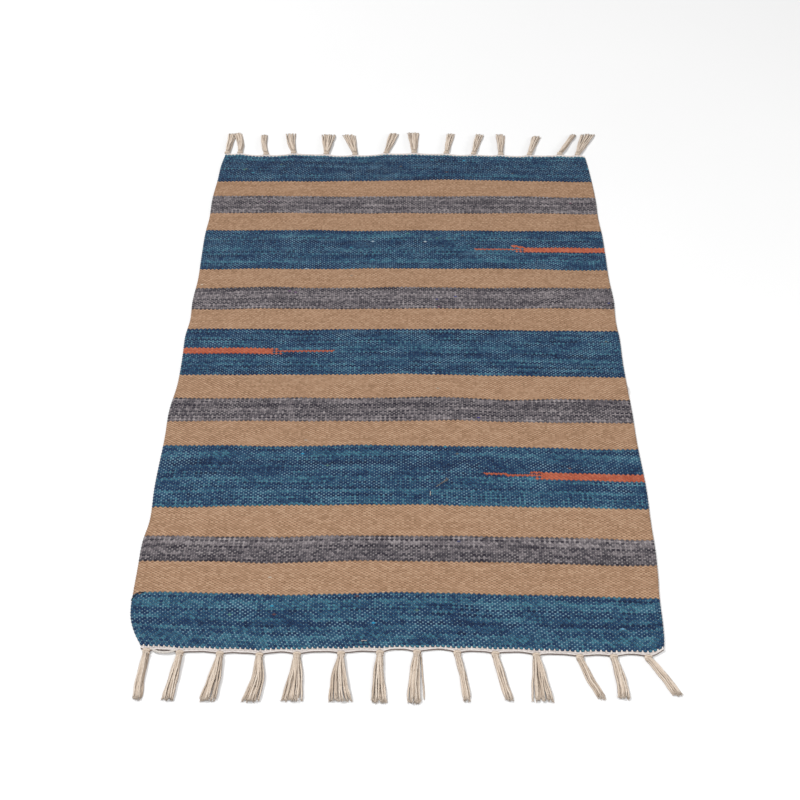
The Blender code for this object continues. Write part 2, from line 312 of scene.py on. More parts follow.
# Where the second stripe reaches down into the first at the left selvage.
CORNER = runs((30, -SELVAGE, -290.5), (29, -SELVAGE, -294.5), (28, -SELVAGE, -297.5))

INLAYS = (
    Inlay(
        "rust_tongue_1", Finish.RUST, 4,
        runs(
            (23, 163, 178, True), (23, 178, SELVAGE), (22, 176, SELVAGE),
            (22, 104, 133, True), (21, 133, 175, True), (21, 175, SELVAGE),
            (20, 175, SELVAGE), (19, 167, SELVAGE),
        ),
    ),
    Inlay(
        "rust_tongue_2", Finish.RUST, 8,
        runs(
            (22, -SELVAGE, -165), (21, -SELVAGE, -176), (20, -SELVAGE, -170),
            (20, -170, -91, True), (19, -SELVAGE, -175), (18, -SELVAGE, -162),
        ),
    ),
    Inlay(
        "rust_tongue_3", Finish.RUST, 12,
        runs(
            (24, 164, 172, True), (23, 167, 182, True), (22, 175, SELVAGE),
            (21, 183, SELVAGE), (20, 107, 178, True), (20, 178, SELVAGE),
            (19, 180, SELVAGE), (18, 166, SELVAGE),
        ),
    ),
)


def operator(operation: str, reflected: bool = False) -> Callable[["Value", Any], "Value"]:
    """Makes an operator for Value.

    Args:
        operation: the Math node's operation.
        reflected: whether the value stands on the right of the sign.

    Returns:
        The method that adds the node.
    """

    def work_out(value: "Value", other: Any) -> "Value":
        """Works out the operation on this value and the other."""
        sides = (other, value) if reflected else (value, other)
        return value.graph.math(operation, *sides)

    return work_out


@dataclass(frozen=True, eq=False)
class Value:
    """A number that a node works out, for use in Python expressions."""

    graph: "Graph"
    socket: NodeSocket

    __add__ = __radd__ = operator("ADD")
    __mul__ = __rmul__ = operator("MULTIPLY")
    __sub__, __rsub__ = operator("SUBTRACT"), operator("SUBTRACT", reflected=True)
    __truediv__ = operator("DIVIDE")
    __mod__ = operator("FLOORED_MODULO")
    __pow__ = operator("POWER")


Number = Value | float


class Graph:
    """A material's nodes, built up from Python expressions."""

    def __init__(self, name: str) -> None:
        """Starts a material of that name with only its output."""
        self.material = bpy.data.materials.new(name)
        self.material.use_nodes = True
        self.tree = self.material.node_tree
        self.tree.nodes.clear()

    def node(
        self,
        kind: str,
        settings: dict[str, Any] | None = None,
        sockets: dict[str | int, Any] | None = None,
    ) -> Node:
        """Adds a node.

        Args:
            kind: the node's type.
            settings: its own settings; stops holds a ramp's (place, colour) pairs.
            sockets: what each input socket gets: a value, an output socket or a Value.

        Returns:
            The node.
        """
        made = self.tree.nodes.new(kind)
        for name, setting in (settings or {}).items():
            if name == "stops":
                self._set_stops(made.color_ramp, setting)
            else:
                setattr(made, name, setting)
        for name, given in (sockets or {}).items():
            source = given.socket if isinstance(given, Value) else given
            if isinstance(source, NodeSocket):
                self.tree.links.new(source, made.inputs[name])
            else:
                made.inputs[name].default_value = source
        return made

    @staticmethod
    def _set_stops(ramp: bpy.types.ColorRamp, stops: Stops) -> None:
        """Sets a ramp's stops.

        Args:
            ramp: the ramp.
            stops: a place and a colour for each.
        """
        for number, (place, colour) in enumerate(stops):
            known = number < len(ramp.elements)
            stop = ramp.elements[number] if known else ramp.elements.new(place)
            stop.position, stop.color = place, (*colour, 1.0)

    def math(self, operation: str, *values: Number) -> Value:
        """Works out one operation on numbers with a Math node."""
        sockets = dict(enumerate(values))
        made = self.node("ShaderNodeMath", {"operation": operation}, sockets)
        return Value(self, made.outputs[0])

    def clamped(self, value: Number, low: float = 0.0, high: float = 1.0) -> Value:
        """A number held between two limits."""
        return self.math("MINIMUM", self.math("MAXIMUM", value, low), high)

    def vector(self, x: Number, y: Number, z: Number = 0.0) -> NodeSocket:
        """A vector of three numbers."""
        return self.node("ShaderNodeCombineXYZ", None, {0: x, 1: y, 2: z}).outputs[0]

    def noise(self, x: Number, y: Number, detail: float = 1.0) -> Value:
        """Smooth noise over two numbers, about 0.5."""
        sockets = {"Vector": self.vector(x, y), "Scale": 1.0, "Detail": detail}
        made = self.node("ShaderNodeTexNoise", {"noise_dimensions": "2D"}, sockets)
        return Value(self, made.outputs[0])

    def chance(self, x: Number, y: Number) -> Value:
        """A random number from 0 to 1 for each pair of numbers."""
        settings = {"noise_dimensions": "2D"}
        made = self.node("ShaderNodeTexWhiteNoise", settings, {"Vector": self.vector(x, y)})
        return Value(self, made.outputs[0])

    def ramp(self, value: Number, stops: Stops) -> NodeSocket:
        """A colour read from a ramp."""
        return self.node("ShaderNodeValToRGB", {"stops": stops}, {0: value}).outputs[0]

    def mix(self, share: Number, first: Any, second: Any) -> NodeSocket:
        """Mixes two colours.

        Args:
            share: how much of the second there is.
            first: a socket or a plain colour.
            second: another.

        Returns:
            The socket of the colour between them.
        """
        first, second = (
            (*item, 1.0) if isinstance(item, tuple) else item for item in (first, second)
        )
        sockets = {0: share, 6: first, 7: second}
        return self.node("ShaderNodeMix", {"data_type": "RGBA"}, sockets).outputs[2]

    def map_place(self, name: str) -> tuple[Value, Value]:
        """The two numbers of a map of the piece's own."""
        place = self.node("ShaderNodeUVMap", {"uv_map": name}).outputs[0]
        parts = self.node("ShaderNodeSeparateXYZ", None, {0: place}).outputs
        return Value(self, parts[0]), Value(self, parts[1])

    def finish(
        self, colour: Any, roughness: Number, height: Number, depth: float, sheen: float
    ) -> Material:
        """Closes the material with its surface.

        Args:
            colour: the socket of its colour.
            roughness: how rough it is.
            height: the fine relief, from 0 to about 1.
            depth: how deep that relief is.
            sheen: how much the loose fibres catch grazing light.

        Returns:
            The material.
        """
        bump = self.node("ShaderNodeBump", None, {"Height": height, "Distance": depth})
        surface = self.node(
            "ShaderNodeBsdfPrincipled",
            None,
            {
                "Base Color": colour,
                "Roughness": roughness,
                "Normal": bump.outputs[0],
                "Specular IOR Level": MATT_SPECULAR,
                "Sheen Weight": sheen,
                "Sheen Roughness": FIBRE_ROUGHNESS,
            },
        )
        output = self.node("ShaderNodeOutputMaterial")
        self.tree.links.new(surface.outputs[0], output.inputs[0])
        return self.material


@dataclass(frozen=True)
class WeftFinish:
    """Weft yarn beaten over the warps: floats in brick order, and the warps between them."""

    finish: Finish
    tones: Stops
    warp_colour: Colour
    # The colour of the painted shade in the hollows beside the floats and in the pits at the
    # joints.
    hollow_shade_colour: Colour
    middle: float = 0.5
    pick_share: float = 0.3
    streak_share: float = 0.8
    streak_length: float = 34.0
    float_share: float = 0.25
    cloud_share: float = 0.3
    # How much the tone falls along the cloth: a painted fall-off of the light.
    painted_falloff: float = 0.0
    end_lift: float = 0.0
    hollow_shade_share: float = 0.5
    pit_shade_share: float = 0.6
    warp_reach: float = 0.36
    warp_share: float = 0.8
    warp_patches: float = 0.9
    speck_share: float = 0.0
    specks: Stops = ()

    def material(self) -> Material:
        """Builds the material.

        Returns:
            The material of this weft.
        """
        graph = Graph(self.finish.value)
        warps, picks = graph.map_place(WEAVE_MAP)
        # A float is a cell of a lattice that is turned by 45 degrees.
        rising, falling = (warps + picks) * 0.5, (warps - picks) * 0.5 + 0.5
        rise, fall = graph.math("FLOOR", rising), graph.math("FLOOR", falling)
        pick, warp = rise - fall, rise + fall
        on_rise, on_fall = rising - rise - 0.5, falling - fall - 0.5
        across, along = on_rise + on_fall, on_rise - on_fall

        # The plain numbers that are added to a place keep one noise from copying another.
        lane = graph.chance(pick, 7.0) * 61.0
        streak = graph.noise(warps * (1 / self.streak_length), lane, 1.0)
        cloud = graph.noise(warps * 0.03 + 2.0, picks * 0.05, 2.0)
        off_middle = graph.math("ABSOLUTE", pick - (PICKS - 1) / 2)
        # The term along the picks makes the tone lighter at the near end and darker at the far
        # end where it is positive: a painted fall-off of the light along the cloth.
        tone = (
            (graph.chance(pick, 3.0) - 0.5) * self.pick_share
            + (graph.chance(pick + 0.5, warp) - 0.5) * self.float_share
            + (streak - 0.5) * self.streak_share
            + (cloud - 0.5) * self.cloud_share
            + (0.5 - picks * (1 / PICKS)) * self.painted_falloff
            + graph.math("GREATER_THAN", off_middle, PICKS / 2 - 1) * self.end_lift
            + self.middle
        )
        colour = graph.ramp(tone, self.tones)

        # Painted shade in the hollows beside each float: on its left everywhere, and on its right
        # only where a noise says the weave is slack.
        left = graph.clamped(-2.0 * on_rise) ** 3.0
        right = graph.clamped(on_fall * 2.0) ** 3.0
        twill = graph.noise(warps * 0.11, picks * 0.13 + 40.0, 2.0)
        hollow = graph.math("MAXIMUM", left, right * graph.clamped(twill * 3.0 - 1.0))
        colour = graph.mix(hollow * self.hollow_shade_share, colour, self.hollow_shade_colour)
        colour = self._warps(graph, warps, picks, colour)

        # A few floats have an oval speck of another colour.
        if self.specks:
            chosen = graph.chance(warp + 0.5, pick + 11.0) - (1.0 - self.speck_share)
            kind = graph.ramp(graph.chance(pick + 3.0, warp + 0.5), self.specks)
            reach = across * across * 1.4 + along * along * 2.6
            shape = graph.clamped((1.0 - reach) * 2.0)
            colour = graph.mix(graph.clamped(chosen * 1e5) * shape * 0.85, colour, kind)

        # The twist of the yarn and its fibres.
        ply = graph.math("SINE", (across * 1.5 + along * 2.0) * TURN)
        fibre = graph.noise(warps * 9.0, picks * 14.0, 2.0)
        height = ply * 0.2 + fibre * 0.5 + 0.3
        roughness = graph.noise(warps * 0.7, pick * 2.1) * 0.16 + 0.80
        return graph.finish(colour, roughness, height, 0.00015, 0.02)

    def _warps(self, graph: Graph, warps: Value, picks: Value, colour: Any) -> Any:
        """Paints shade in the joints' pits, then lays the warps that show there over the weft.

        Args:
            graph: the material's nodes.
            warps: the place across, in warps.
            picks: the place along, in picks.
            colour: the weft's colour.

        Returns:
            The colour of weft, painted shade and warps.
        """
        column, row = graph.math("FLOOR", warps), graph.math("FLOOR", picks)
        is_joint = (column + row) % 2.0
        across, along = warps - column - 0.5, picks - row - 0.5
        # Painted shade: a dark pit at every joint, where the weft dips under the warp.
        pit = graph.clamped((1.0 - across * across * 4.3 - along * along * 8.6) * 2.5)
        colour = graph.mix(pit * is_joint * self.pit_shade_share, colour, self.hollow_shade_colour)
        patch = graph.noise(warps * 0.06 + 31.0, picks * 0.11 + 7.0, 3.0) - 0.5
        lot = graph.chance(column + 0.25, row) - 0.5
        reach = graph.math("MAXIMUM", patch * self.warp_patches + lot * 0.7 + 1.0, 0.05)
        reach = reach * self.warp_reach
        apart = (across * across + along * along * 1.15) / (reach * reach)
        bare = graph.clamped((1.0 - apart) * 2.0) * is_joint
        return graph.mix(bare * self.warp_share, colour, self.warp_colour)


@dataclass(frozen=True)
class YarnFinish:
    """Plied yarn: painted shade between its plies and on its lower side, and patches of tone."""

    name: str
    tones: tuple[Colour, Colour, Colour]
    ply_shade_colour: Colour
    ply_shade_share: float = 0.45
    painted_shade_colour: Colour = (0.27, 0.175, 0.110)
    painted_shade_share: float = 0.85
    painted_shade_from: float = 0.45
    painted_shade_gain: float = 1.6
    plies: float = 2.0
    twist_length: float = 0.0052
    tone_places: tuple[float, float, float] = (0.15, 0.45, 0.75)

    def material(self) -> Material:
        """Builds the material.

        Returns:
            The material of this yarn.
        """
        graph = Graph(self.name)
        around, along = graph.map_place(YARN_MAP)
        strand = graph.math("FLOOR", around)
        turn = (around - strand) * self.plies + along * (1 / self.twist_length)
        ply = graph.math("SINE", turn * TURN) * 0.5 + 0.5
        patch = graph.noise(along * 60.0, strand * 3.1, 2.0)
        fibre = graph.noise((around - strand) * 9.0 + strand * 5.0, along * 900.0, 2.0)
        tone = (patch - 0.5) * 0.4 + (graph.chance(strand, 1.0) - 0.5) * 0.4 + fibre * 0.3 + 0.35
        colour = graph.ramp(tone, tuple(zip(self.tone_places, self.tones)))
        # Painted shade in the grooves between the plies.
        hollow = graph.clamped(1.0 - ply * 2.2)
        colour = graph.mix(hollow * self.ply_shade_share, colour, self.ply_shade_colour)
        # Painted shade: the lower part of each yarn's round is darkened, as if lit from above.
        upward = graph.math("SINE", (around - strand) * TURN)
        shade = graph.clamped((self.painted_shade_from - upward) * self.painted_shade_gain)
        colour = graph.mix(shade * self.painted_shade_share, colour, self.painted_shade_colour)
        height = ply * 0.7 + fibre * 0.4
        roughness = fibre * 0.12 + 0.82
        return graph.finish(colour, roughness, height, 0.00035, 0.1)


@dataclass(frozen=True)
class FloorFinish:
    """A plain pale floor with the faintest cloudiness."""

    pale: Colour = (0.78, 0.78, 0.78)
    paler: Colour = (0.80, 0.80, 0.80)

    def material(self) -> Material:
        """Builds the material.

        Returns:
            The floor's material.
        """
        graph = Graph("pale_floor")
        place = graph.node("ShaderNodeTexCoord").outputs["Object"]
        cloud = graph.node("ShaderNodeTexNoise", None, {"Vector": place, "Scale": 3.0})
        colour = graph.mix(Value(graph, cloud.outputs[0]), self.pale, self.paler)
        grain = graph.node("ShaderNodeTexNoise", None, {"Vector": place, "Scale": 600.0})
        return graph.finish(colour, 0.9, Value(graph, grain.outputs[0]), 0.00003, 0.0)


BLUE_WEFT = WeftFinish(
    finish=Finish.BLUE,
    tones=(
        (0.15, (0.0056, 0.014, 0.044)), (0.42, (0.010, 0.033, 0.086)),
        (0.60, (0.019, 0.063, 0.124)), (0.85, (0.047, 0.152, 0.212)),
    ),
    warp_colour=(0.206, 0.345, 0.413), hollow_shade_colour=(0.0028, 0.0051, 0.016), warp_reach=0.27,
    warp_patches=2.2, warp_share=0.75, pick_share=0.35, float_share=0.35, streak_share=0.55,
    cloud_share=0.06, painted_falloff=0.09, end_lift=0.20, hollow_shade_share=0.85, pit_shade_share=0.9,
    speck_share=0.0022,
    specks=(
        (0.0, (0.420, 0.467, 0.506)), (0.25, (0.019, 0.244, 0.437)),
        (0.6, (0.047, 0.173, 0.137)), (0.95, (0.093, 0.041, 0.040)),
    ),
)

TAN_WEFT = WeftFinish(
    finish=Finish.TAN,
    tones=(
        (0.10, (0.241, 0.139, 0.078)), (0.50, (0.356, 0.216, 0.133)),
        (0.90, (0.448, 0.294, 0.191)),
    ),
    warp_colour=(0.525, 0.358, 0.239), warp_share=0.3, warp_reach=0.30, warp_patches=1.8,
    hollow_shade_colour=(0.094, 0.045, 0.020), painted_falloff=0.09, hollow_shade_share=0.4, pit_shade_share=0.95,
    pick_share=0.12, streak_share=0.25, streak_length=16.0, float_share=0.45, cloud_share=0.12,
    speck_share=0.0003,
    specks=((0.0, (0.077, 0.056, 0.045)), (0.8, (0.493, 0.425, 0.342))),
)

GREY_WEFT = WeftFinish(
    finish=Finish.GREY,
    tones=(
        (0.22, (0.018, 0.014, 0.023)), (0.44, (0.064, 0.057, 0.066)),
        (0.58, (0.147, 0.128, 0.138)), (0.85, (0.333, 0.298, 0.304)),
    ),
    warp_colour=(0.460, 0.420, 0.411), warp_share=0.5, warp_reach=0.33, warp_patches=1.3,
    hollow_shade_colour=(0.0076, 0.0065, 0.010), painted_falloff=-0.03, hollow_shade_share=0.7, pit_shade_share=0.8,
    pick_share=0.25, streak_share=0.35, streak_length=18.0, float_share=0.25, cloud_share=0.08,
    speck_share=0.0014,
    specks=(
        (0.0, (0.090, 0.010, 0.019)), (0.4, (0.026, 0.045, 0.265)),
        (0.7, (0.010, 0.0092, 0.010)),
    ),
)

RUST_WEFT = WeftFinish(
    finish=Finish.RUST,
    tones=(
        (0.10, (0.265, 0.054, 0.027)), (0.50, (0.382, 0.093, 0.049)),
        (0.90, (0.466, 0.149, 0.086)),
    ),
    warp_colour=(0.477, 0.214, 0.135), warp_share=0.4, warp_reach=0.30,
    hollow_shade_colour=(0.117, 0.019, 0.010), hollow_shade_share=0.6, pick_share=0.15, streak_share=0.3,
    float_share=0.35, cloud_share=0.15,
)

# The fringe's cotton has a warm brown painted shade on the sides and underside of each strand.
FRINGE_YARN = YarnFinish(
    "fringe_cotton",
    tones=((0.384, 0.296, 0.223), (0.586, 0.488, 0.397), (0.695, 0.603, 0.514)),
    ply_shade_colour=(0.302, 0.216, 0.150), ply_shade_share=0.18, painted_shade_colour=(0.197, 0.109, 0.056),
    painted_shade_from=0.6, painted_shade_gain=2.6,
)
# The band's cotton has a deep painted shade on all but the top of its round.
BAND_YARN = YarnFinish(
    "band_cotton",
    tones=((0.448, 0.389, 0.359), (0.597, 0.546, 0.522), (0.726, 0.683, 0.664)),
    ply_shade_colour=(0.363, 0.305, 0.272), painted_shade_colour=(0.120, 0.085, 0.068), painted_shade_from=0.88,
    painted_shade_gain=3.0, ply_shade_share=0.25,
)
LOOSE_YARN = YarnFinish(
    "loose_cotton",
    tones=((0.50, 0.46, 0.42), (0.62, 0.58, 0.54), (0.72, 0.68, 0.64)),
    ply_shade_colour=(0.330, 0.281, 0.242), painted_shade_colour=(0.150, 0.112, 0.095), painted_shade_from=0.0,
    ply_shade_share=0.2,
)
BROWN_YARN = YarnFinish(
    "stray_brown",
    tones=((0.108, 0.084, 0.072), (0.216, 0.168, 0.156), (0.360, 0.300, 0.276)),
    ply_shade_colour=(0.060, 0.048, 0.036), painted_shade_colour=(0.060, 0.048, 0.036),
)
NAVY_YARN = YarnFinish(
    "turned_navy",
    tones=((0.004, 0.008, 0.018), (0.008, 0.016, 0.032), (0.02, 0.05, 0.07)),
    ply_shade_colour=(0.003, 0.004, 0.008), painted_shade_colour=(0.003, 0.004, 0.008),
)


@dataclass
class Shape:
    """Points, faces and map places gathered for one mesh."""

    map_name: str
    points: list[np.ndarray] = field(default_factory=list)
    faces: list[np.ndarray] = field(default_factory=list)
    places: list[np.ndarray] = field(default_factory=list)
    flat: list[np.ndarray] = field(default_factory=list)
    bake_places: list[np.ndarray] = field(default_factory=list)
    count: int = 0

    def add_points(self, points: np.ndarray) -> int:
        """Adds points and returns the number of the first."""
        first = self.count
        self.points.append(points)
        self.count += len(points)
        return first

    def add_faces(self, faces: np.ndarray, places: np.ndarray, flat: bool = False) -> None:
        """Adds faces that all have the same number of corners.

        Args:
            faces: the points of each.
            places: a map place for each corner.
            flat: whether they are shaded flat.
        """
        self.faces.append(faces)
        self.places.append(places)
        self.flat.append(np.full(len(faces), flat))

    @staticmethod
    def lay_map(mesh: bpy.types.Mesh, name: str, groups: list[np.ndarray]) -> None:
        """Gives a mesh a map.

        Args:
            mesh: the mesh.
            name: the map's name.
            groups: the places of the corners, a group for each group of faces.
        """
        layer = mesh.uv_layers.new(name=name, do_init=False)
        places = np.concatenate([group.reshape(-1, 2) for group in groups])
        layer.uv.foreach_set("vector", places.astype(np.float32).ravel())

    def build(self, name: str, material: Material) -> Object:
        """Makes the mesh, in the part's frame.

        Args:
            name: the piece's name.
            material: what it wears.

        Returns:
            The piece.
        """
        mesh = bpy.data.meshes.new(name)
        points = np.concatenate(self.points) + ORIGIN
        mesh.vertices.add(len(points))
        mesh.vertices.foreach_set("co", points.astype(np.float32).ravel())
        corners = np.concatenate([group.ravel() for group in self.faces])
        sizes = np.concatenate([np.full(len(group), group.shape[1]) for group in self.faces])
        mesh.loops.add(len(corners))
        mesh.loops.foreach_set("vertex_index", corners.astype(np.int32))
        mesh.polygons.add(len(sizes))
        starts = np.concatenate([[0], np.cumsum(sizes)[:-1]])
        mesh.polygons.foreach_set("loop_start", starts.astype(np.int32))
        mesh.update(calc_edges=True)
        mesh.polygons.foreach_set("use_smooth", ~np.concatenate(self.flat))
        self.lay_map(mesh, self.map_name, self.places)
        mesh.materials.append(material)
        mesh.validate()
        piece = bpy.data.objects.new(name, mesh)
        bpy.context.scene.collection.objects.link(piece)
        return piece


def declare(piece: Object, finish: Finish, *nodes: str) -> None:
    """Fixes a piece to the part.

    Args:
        piece: the piece.
        finish: the piece's finish; not used.
        nodes: the CAD nodes that it stands for.
    """
    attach(piece, BODY)
    if nodes:
        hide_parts(*nodes)


# The two of a float's eight faces that meet its near corner.
NEAR_TIP = (5, 6)


@dataclass
class Weave:
    """The lattice that the whole cloth is woven on.

    Each float of weft is a diamond of eight faces. Its crest stands over a warp,
    its four corners lie at the joints, where a warp passes over the weft, and
    the middles of its four sides lie in the hollows between floats.
    """

    outline: Outline = field(default_factory=Outline)
    warps: int = 204
    picks: int = PICKS
    thickness: float = 0.0031
    sink_at_joint: float = 0.00080
    sink_in_hollow: float = 0.00062
    sink_at_selvage: float = 0.00110
    sink_at_end: float = 0.00070
    selvage_loop: float = 0.16
    end_loop: float = 0.22
    pulled_picks: int = 9
    calm_picks: int = 12
    sway_across: float = 0.0005
    sway_along: float = 0.0004
    unevenness: float = 0.0003
    looseness: float = 0.20
    roughness: float = 0.00007
    seed: int = 11

    def __post_init__(self) -> None:
        """Works out the lattice, the faces and who owns each."""
        self._lay_lattice()
        self._place_points()
        self._raise_relief()
        self._join_faces()
        self._share_out()

    def _lay_lattice(self) -> None:
        """Lists the lattice points and then the hollows, each by warp and by pick."""
        pick, warp = np.mgrid[-1 : self.picks + 1, -1 : self.warps + 1]
        self.is_joint = ((pick + warp) % 2).ravel() == 1
        at_warp = warp.ravel() + 0.5
        at_warp = at_warp.clip(-self.selvage_loop, self.warps + self.selvage_loop)
        row, column = np.mgrid[0 : self.picks + 1, 0 : self.warps + 1]
        self.at_warp = np.concatenate([at_warp, column.ravel().astype(float)])
        at_pick = (pick.ravel() + 0.5).clip(-self.end_loop, self.picks + self.end_loop)
        self.at_pick = np.concatenate([at_pick, row.ravel().astype(float)])

    def _crossing(self, pick: Any, warp: Any) -> np.ndarray:
        """The number of the lattice point where a pick crosses a warp."""
        return (np.asarray(pick) + 1) * (self.warps + 2) + np.asarray(warp) + 1

    def _hollow(self, pick: Any, warp: Any) -> np.ndarray:
        """The number of the hollow at the near left of a crossing."""
        first = (self.picks + 2) * (self.warps + 2)
        return first + np.asarray(pick) * (self.warps + 1) + np.asarray(warp)

    def _place_points(self) -> None:
        """Places the points across and along."""
        outline = self.outline
        middle = len(STRIPE_PLACES) // 2
        straight = [0.0] + [stripe.ends_at[middle] for stripe in STRIPES]
        along = np.interp(self.at_pick, STRIPE_STARTS, straight)
        share = self.at_warp / self.warps
        left, right = outline.left(along), outline.right(along)
        self.x = left + (right - left) * share
        # Long low waves keep the columns and the rows of floats from lying dead straight.
        sway = np.sin(TURN * (along / 0.17 + 3.1 * share)) * np.sin(np.pi * share.clip(0, 1))
        self.x += self.sway_across * sway
        bounds = [outline.plain_end(self.x, End.NEAR)]
        for stripe in STRIPES[:-1]:
            bounds.append(eased(STRIPE_PLACES, stripe.ends_at, self.x))
        bounds.append(outline.plain_end(self.x, End.FAR))
        number = np.searchsorted(STRIPE_STARTS, self.at_pick, side="right") - 1
        number = number.clip(0, len(STRIPES) - 1)
        stack, each = np.stack(bounds), np.arange(len(number))
        starts, ends = STRIPE_STARTS[number], STRIPE_STARTS[number + 1]
        part = (self.at_pick - starts) / (ends - starts)
        self.y = stack[number, each] + (stack[number + 1, each] - stack[number, each]) * part
        depth = np.minimum(self.at_pick, self.picks - self.at_pick)
        inside = np.clip(depth / self.calm_picks, 0, 1)
        sway = np.sin(TURN * (self.x / 0.19 + self.at_pick * 0.011))
        sway += 0.6 * np.sin(TURN * (self.x / 0.083 - self.at_pick * 0.023))
        self.y += self.sway_along * sway * inside
        for end, depth in ((End.NEAR, self.at_pick), (End.FAR, self.picks - self.at_pick)):
            share = (1 - depth / self.pulled_picks).clip(0, 1) ** 2
            self.y += outline.drawn_out(self.x, end) * share

    def _raise_relief(self) -> None:
        """Raises the floats above the joints and hollows, on both faces of the cloth."""
        chance = np.random.default_rng(self.seed)
        total, lattice = len(self.x), len(self.is_joint)
        loose = 1 + self.looseness * chance.standard_normal(total).clip(-2, 2)
        above = np.full(total, self.sink_in_hollow)
        below = above.copy()
        above[:lattice] = np.where(self.is_joint, self.sink_at_joint, 0.0)
        below[:lattice] = np.where(self.is_joint, 0.0, self.sink_at_joint)
        above, below = above * loose, below * loose
        jitter = self.roughness * np.abs(chance.standard_normal(total)).clip(0, 2)
        above, below = above + jitter, below + jitter
        selvage = (self.at_warp <= 0) | (self.at_warp >= self.warps)
        above[selvage] = below[selvage] = self.sink_at_selvage
        ends = (self.at_pick <= 0) | (self.at_pick >= self.picks)
        above[ends], below[ends] = self.sink_at_end, self.sink_at_selvage / 2
        uneven = np.sin(TURN * self.x / 0.21 + 0.7) * np.sin(TURN * self.y / 0.16)
        self.top = self.thickness + self.unevenness * uneven - above
        self.bottom = below

    def _join_faces(self) -> None:
        """Joins eight faces round each crest, and closes the notches along the selvages."""
        pick, warp = np.mgrid[0 : self.picks, 0 : self.warps]
        crest = (pick + warp) % 2 == 0
        pick, warp = pick[crest], warp[crest]
        ring = [
            self._crossing(pick, warp + 1), self._hollow(pick + 1, warp + 1),
            self._crossing(pick + 1, warp), self._hollow(pick + 1, warp),
            self._crossing(pick, warp - 1), self._hollow(pick, warp),
            self._crossing(pick - 1, warp), self._hollow(pick, warp + 1),
        ]
        middle = self._crossing(pick, warp)
        fans = [np.stack([middle, ring[step], ring[(step + 1) % 8]], 1) for step in range(8)]
        owners = [np.stack([pick, warp], 1)] * 8
        is_near_tip = np.repeat(np.isin(np.arange(8), NEAR_TIP), len(pick))
        for column, edge in ((0, 0), (self.warps - 1, self.warps)):
            rows = np.arange(self.picks)
            rows = rows[(rows + column) % 2 == 1]
            low, high = self._hollow(rows, edge), self._hollow(rows + 1, edge)
            turned = (high, low) if edge == 0 else (low, high)
            fans.append(np.stack([self._crossing(rows, column), *turned], 1))
            owners.append(np.stack([rows, np.full_like(rows, column)], 1))
        self.faces = np.concatenate(fans)
        self.face_pick, self.face_warp = np.concatenate(owners).T
        self.is_near_tip = np.zeros(len(self.faces), bool)
        self.is_near_tip[: len(is_near_tip)] = is_near_tip

    def _share_out(self) -> None:
        """Finds which stripe or inlay each face belongs to."""
        self.owner = np.searchsorted(STRIPE_STARTS, self.face_pick, side="right") - 1
        for run in CORNER:
            self._take(run, 0, 1)
        for number, inlay in enumerate(INLAYS, start=len(STRIPES)):
            for run in inlay.runs:
                self._take(run, inlay.stripe, number)

    def _take(self, run: Run, stripe: int, owner: int) -> None:
        """Hands the faces of a run to another owner.

        Args:
            run: the run.
            stripe: the stripe that it is counted in.
            owner: the stripe or inlay that gets them.
        """
        pick = STRIPE_STARTS[stripe] + run.pick
        taken = self.face_pick == pick
        if run.tipped:
            taken |= (self.face_pick == pick + 1) & self.is_near_tip
        across = self.x[self._crossing(self.face_pick, self.face_warp)]
        self.owner[taken & (across > run.start) & (across < run.end)] = owner

    def end_joints(self, end: End) -> np.ndarray:
        """The joints of the outermost pick at a woven end, as points on the cloth."""
        pick = 0 if end is End.NEAR else self.picks - 1
        warp = np.arange(self.warps)
        joint = self._crossing(pick, warp[(warp + pick) % 2 == 1])
        return np.stack([self.x[joint], self.y[joint], self.top[joint]], 1)

    def slab(self, number: int) -> Shape:
        """Gathers one stripe or inlay: its upper and lower faces and the walls between them.

        Args:
            number: the stripe's number, or the inlay's after all the stripes.

        Returns:
            A closed shape, with its weave map and its places for a bake.
        """
        mine = self.owner == number
        used, compact = np.unique(self.faces[mine], return_inverse=True)
        upper = compact.reshape(-1, 3)
        total = len(used)
        edges = np.stack([upper, np.roll(upper, -1, axis=1)], 2).reshape(-1, 2)
        code, back = edges @ [total, 1], edges @ [1, total]
        rim = edges[~np.isin(code, back)]
        x, y = self.x[used], self.y[used]
        place = np.stack([self.at_warp[used], self.at_pick[used]], 1)
        shape = Shape(WEAVE_MAP)
        shape.add_points(np.stack([x, y, self.top[used]], 1))
        shape.add_points(np.stack([x, y, self.bottom[used]], 1))
        lower = upper[:, ::-1]
        start, end = rim.T
        wall = np.stack([start + total, end + total, end, start], 1)
        shape.add_faces(upper, place[upper])
        shape.add_faces(lower + total, place[lower] + [0.0, 1.0])
        shape.add_faces(wall, place[np.stack([start, end, end, start], 1)], flat=True)
        shape.bake_places = self._bake_places(place, upper, self.face_warp[mine], len(rim))
        return shape

    @staticmethod
    def _bake_places(
        place: np.ndarray, upper: np.ndarray, warp: np.ndarray, walls: int
    ) -> list[np.ndarray]:
        """Lays faces out flat for a later bake: two bands for each side, and a strip of walls.

        Args:
            place: each point's warp and pick.
            upper: the upper faces' corners.
            warp: each upper face's warp.
            walls: how many walls there are.

        Returns:
            The places of the upper faces, the lower faces and the walls.
        """
        # Four bands of this height hold the two sides, and the walls lie in rows above them.
        band, rows_from = 0.24, (0.004, 0.965)
        walls_a_row, walls_across, walls_spaced = 500, 512, 600
        low, high = warp.min(), warp.max() + 1
        half = low + (high - low + 1) // 2
        right = warp >= half
        first = np.where(right, half, low)[:, None] - 1.0
        last = np.where(right, high, half)[:, None] + 1.0
        near, far = place[:, 1].min() - 0.5, place[:, 1].max() + 0.5
        across = (place[upper][..., 0] - first) / (last - first)
        along = (place[upper][..., 1] - near) / (far - near)
        above = np.stack([across, (right[:, None] + along) * band], 2)
        below = above[:, ::-1] + [0.0, 2 * band]
        cell = np.arange(walls)
        corner = np.stack([cell % walls_a_row, cell // walls_a_row], 1) / walls_across + rows_from
        steps = np.array([(0, 0), (1, 0), (1, 1), (0, 1)]) / walls_spaced
        return [above, below, corner[:, None] + steps[None]]


